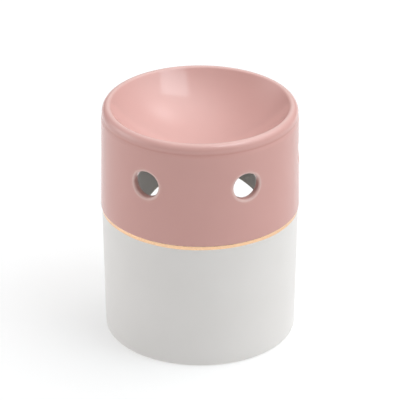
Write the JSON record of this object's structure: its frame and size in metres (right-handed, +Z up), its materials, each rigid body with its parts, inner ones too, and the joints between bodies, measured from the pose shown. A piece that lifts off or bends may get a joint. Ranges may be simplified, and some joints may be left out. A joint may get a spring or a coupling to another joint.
{
  "type": "tealight wax melt burner",
  "caption": "Round ceramic wax melt burner: shallow dish over a vented chamber with an arched rear doorway, and a tealight that slides out and lifts from its cup.",
  "frame": {"origin": "centre of the foot ring, on the surface that the burner stands on", "axes": "+Z up along the burner's axis, -Y to the front, +Y through the rear doorway, +X to the right as seen from the front"},
  "size_m": [0.09, 0.09, 0.1103],
  "materials": {
    "white_glaze": "satin white glaze, bare clay on the foot ring",
    "pink_glaze": "glossy dusty pink glaze",
    "gold_lustre": "thin fired-on gold lustre",
    "aluminium": "thin bright pressed foil",
    "wax": "white paraffin wax, slightly translucent",
    "wick": "braided cotton, waxed",
    "tinplate": "stamped tinplate"
  },
  "bodies": {
    "burner": {"lower_body": "white_glaze", "upper_body": "pink_glaze", "gold_band": "gold_lustre"},
    "cup": {"tealight_cup": "aluminium"},
    "candle": {"tealight_wax": "wax", "tealight_wick": "wick", "wick_tab": "tinplate"}
  },
  "joints": [
    {"name": "tealight_slide", "type": "slide", "parent": "burner", "child": "cup", "axis": [0, 1, 0], "range_m": [0, 0.07]},
    {"name": "candle_lift", "type": "slide", "parent": "cup", "child": "candle", "axis": [0, 0, 1], "range_m": [0, 0.018]}
  ]
}
